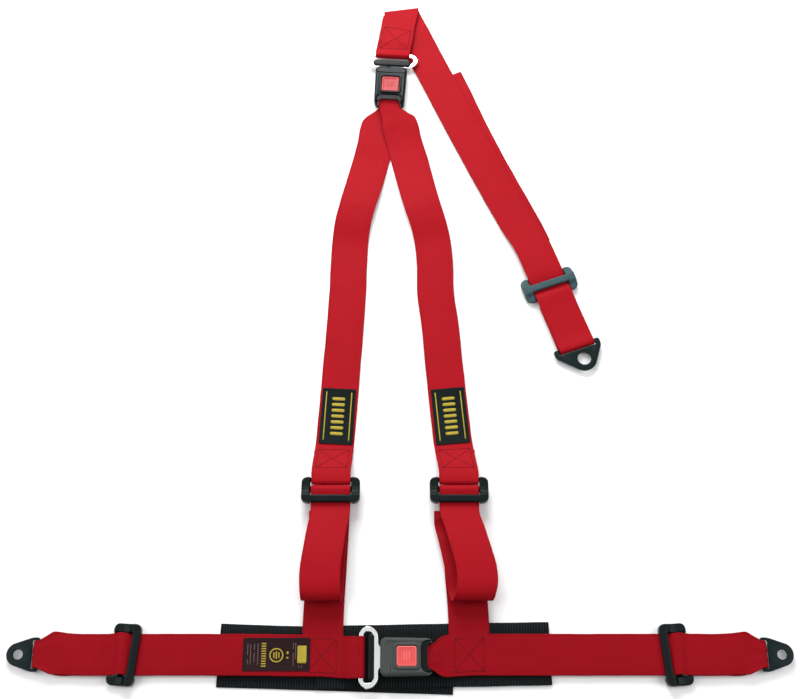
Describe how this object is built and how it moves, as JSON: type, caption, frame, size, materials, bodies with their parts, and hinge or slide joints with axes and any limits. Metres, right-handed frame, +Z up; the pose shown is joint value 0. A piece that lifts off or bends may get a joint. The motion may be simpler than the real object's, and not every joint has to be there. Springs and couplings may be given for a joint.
{
  "type": "racing harness",
  "caption": "Club racing harness laid flat: lap belts, shoulder belts and a rear belt in red webbing, with push-button buckles, slide adjusters, anchor plates and lap pads.",
  "frame": {"origin": "on the surface that the harness lies on, under the middle of its outline", "axes": "+Z up out of the surface, +Y from the lap belts towards the rear belt, +X towards the right lap anchor as seen from above"},
  "size_m": [0.956, 0.9985, 0.0304],
  "materials": {
    "red_webbing": "woven polyester webbing",
    "dark_red_webbing": "woven polyester webbing",
    "black_hardware": "black semi-gloss coated pressed steel",
    "coated_steel": "black coated pressed steel, satin",
    "polished_steel": "bright plated",
    "black_plastic": "moulded",
    "black_shell": "moulded, semi-gloss",
    "grey_shell": "moulded, satin",
    "zinc_steel": "zinc plated",
    "spring_wire": "drawn wire",
    "button_plastic": "moulded",
    "patch_fabric": "woven badge",
    "pad_webbing": "ribbed polypropylene webbing",
    "label_fabric": "satin-woven label"
  },
  "bodies": {
    "yoke": {"right_shoulder_strap": "red_webbing", "right_shoulder_patch": "patch_fabric", "right_shoulder_adjuster": "black_hardware", "top_upper_shell": "black_shell", "top_lower_shell": "black_shell", "top_frame": "zinc_steel", "top_latch": "zinc_steel", "top_button_spring": "spring_wire", "top_ejector_spring": "spring_wire", "top_shell_screws": "zinc_steel"},
    "left_yoke": {"left_shoulder_strap": "red_webbing", "left_shoulder_patch": "patch_fabric", "left_shoulder_adjuster": "black_hardware"},
    "right_belt": {"right_lower_strap": "dark_red_webbing", "right_lap_strap": "dark_red_webbing", "lap_upper_shell": "grey_shell", "lap_lower_shell": "grey_shell", "lap_frame": "zinc_steel", "lap_latch": "zinc_steel", "lap_button_spring": "spring_wire", "lap_ejector_spring": "spring_wire", "lap_shell_screws": "zinc_steel"},
    "left_belt": {"left_lower_strap": "dark_red_webbing", "left_lap_strap": "dark_red_webbing", "lap_tongue": "polished_steel", "lap_tongue_insert": "black_plastic", "approval_label": "label_fabric"},
    "right_tail": {"right_strap_tail": "dark_red_webbing"},
    "left_tail": {"left_strap_tail": "dark_red_webbing"},
    "right_adjuster": {"right_lap_adjuster": "black_hardware"},
    "left_adjuster": {"left_lap_adjuster": "black_hardware"},
    "right_anchor": {"right_anchor_loop": "dark_red_webbing"},
    "left_anchor": {"left_anchor_loop": "dark_red_webbing"},
    "right_plate": {"right_anchor_plate": "coated_steel"},
    "left_plate": {"left_anchor_plate": "coated_steel"},
    "right_pad": {"right_lap_pad": "pad_webbing"},
    "left_pad": {"left_lap_pad": "pad_webbing"},
    "rear_belt": {"rear_strap": "red_webbing", "rear_strap_tail": "red_webbing", "top_tongue": "polished_steel", "top_tongue_insert": "black_plastic"},
    "rear_slide": {"rear_adjuster": "black_hardware"},
    "rear_anchor": {"rear_anchor_loop": "red_webbing"},
    "rear_plate": {"rear_anchor_plate": "coated_steel"},
    "top_button": {"top_button": "button_plastic"},
    "lap_button": {"lap_button": "button_plastic"},
    "top_ejector": {"top_ejector": "black_plastic"},
    "lap_ejector": {"lap_ejector": "black_plastic"}
  },
  "joints": [
    {"name": "top_button_press", "type": "slide", "parent": "yoke", "child": "top_button", "axis": [0, 0, -1], "range_m": [0, 0.0032], "stiffness_N_per_m": 600, "springref_m": -0.003, "deforming": ["top_button_spring", "top_latch"]},
    {"name": "rear_release", "type": "slide", "parent": "yoke", "child": "rear_belt", "axis": [0.0593, 0.9982, 0], "range_m": [0, 0.04], "deforming": ["top_ejector_spring"]},
    {"name": "top_ejector_slide", "type": "slide", "parent": "yoke", "child": "top_ejector", "axis": [0.0593, 0.9982, 0], "range_m": [0, 0.009]},
    {"name": "rear_adjust", "type": "slide", "parent": "rear_belt", "child": "rear_slide", "axis": [-0.3355, 0.9421, 0], "range_m": [-0.04, 0.04]},
    {"name": "rear_anchor_feed", "type": "slide", "parent": "rear_slide", "child": "rear_anchor", "axis": [0.3355, -0.9421, 0], "range_m": [-0.02, 0.02]},
    {"name": "rear_plate_swing", "type": "hinge", "parent": "rear_anchor", "child": "rear_plate", "pos_m": [0.23537, -0.0481, 0.00585], "axis": [0.9421, 0.3355, 0], "range_deg": [-60, 60]},
    {"name": "lap_release", "type": "hinge", "parent": "yoke", "child": "left_yoke", "pos_m": [-0.01542, 0.33285, 0.008], "axis": [0, 0, -1], "range_deg": [0, 3], "deforming": ["lap_ejector_spring"]},
    {"name": "lap_ejector_slide", "type": "slide", "parent": "right_belt", "child": "lap_ejector", "axis": [-1, 0, 0], "range_m": [0, 0.009]},
    {"name": "lap_button_press", "type": "slide", "parent": "right_belt", "child": "lap_button", "axis": [0, 0, -1], "range_m": [0, 0.0032], "stiffness_N_per_m": 600, "springref_m": -0.003, "deforming": ["lap_button_spring", "lap_latch"]},
    {"name": "right_shoulder_feed", "type": "slide", "parent": "yoke", "child": "right_belt", "axis": [0, 1, 0], "range_m": [-0.01, 0.016]},
    {"name": "left_shoulder_feed", "type": "slide", "parent": "left_yoke", "child": "left_belt", "axis": [0, 1, 0], "range_m": [-0.01, 0.016]},
    {"name": "right_tail_feed", "type": "slide", "parent": "yoke", "child": "right_tail", "axis": [0, -1, 0], "range_m": [-0.01, 0.016]},
    {"name": "left_tail_feed", "type": "slide", "parent": "left_yoke", "child": "left_tail", "axis": [0, -1, 0], "range_m": [-0.01, 0.016]},
    {"name": "left_lap_adjust", "type": "slide", "parent": "left_belt", "child": "left_adjuster", "axis": [1, 0, 0], "range_m": [-0.05, 0.05]},
    {"name": "left_anchor_feed", "type": "slide", "parent": "left_adjuster", "child": "left_anchor", "axis": [-1, 0, 0], "range_m": [-0.025, 0.025]},
    {"name": "left_plate_swing", "type": "hinge", "parent": "left_anchor", "child": "left_plate", "pos_m": [-0.441, -0.4522, 0.00585], "axis": [0, 1, 0], "range_deg": [-60, 60]},
    {"name": "right_lap_adjust", "type": "slide", "parent": "right_belt", "child": "right_adjuster", "axis": [-1, 0, 0], "range_m": [-0.05, 0.05]},
    {"name": "right_anchor_feed", "type": "slide", "parent": "right_adjuster", "child": "right_anchor", "axis": [1, 0, 0], "range_m": [-0.025, 0.025]},
    {"name": "right_plate_swing", "type": "hinge", "parent": "right_anchor", "child": "right_plate", "pos_m": [0.441, -0.4522, 0.00585], "axis": [0, 1, 0], "range_deg": [-60, 60]},
    {"name": "left_pad_slide", "type": "slide", "parent": "left_belt", "child": "left_pad", "axis": [1, 0, 0], "range_m": [-0.02, 0.02]},
    {"name": "right_pad_slide", "type": "slide", "parent": "right_belt", "child": "right_pad", "axis": [1, 0, 0], "range_m": [-0.02, 0.02]}
  ],
  "couplings": [
    {"joint": "top_ejector_slide", "follows": "rear_release", "ratio": 0.225},
    {"joint": "rear_anchor_feed", "follows": "rear_adjust", "ratio": 0.5},
    {"joint": "lap_ejector_slide", "follows": "lap_release", "m_per_rad": 0.17172},
    {"joint": "left_shoulder_feed", "follows": "right_shoulder_feed", "ratio": 1},
    {"joint": "right_tail_feed", "follows": "right_shoulder_feed", "ratio": 1},
    {"joint": "left_tail_feed", "follows": "right_shoulder_feed", "ratio": 1},
    {"joint": "left_anchor_feed", "follows": "left_lap_adjust", "ratio": 0.5},
    {"joint": "right_anchor_feed", "follows": "right_lap_adjust", "ratio": 0.5}
  ]
}
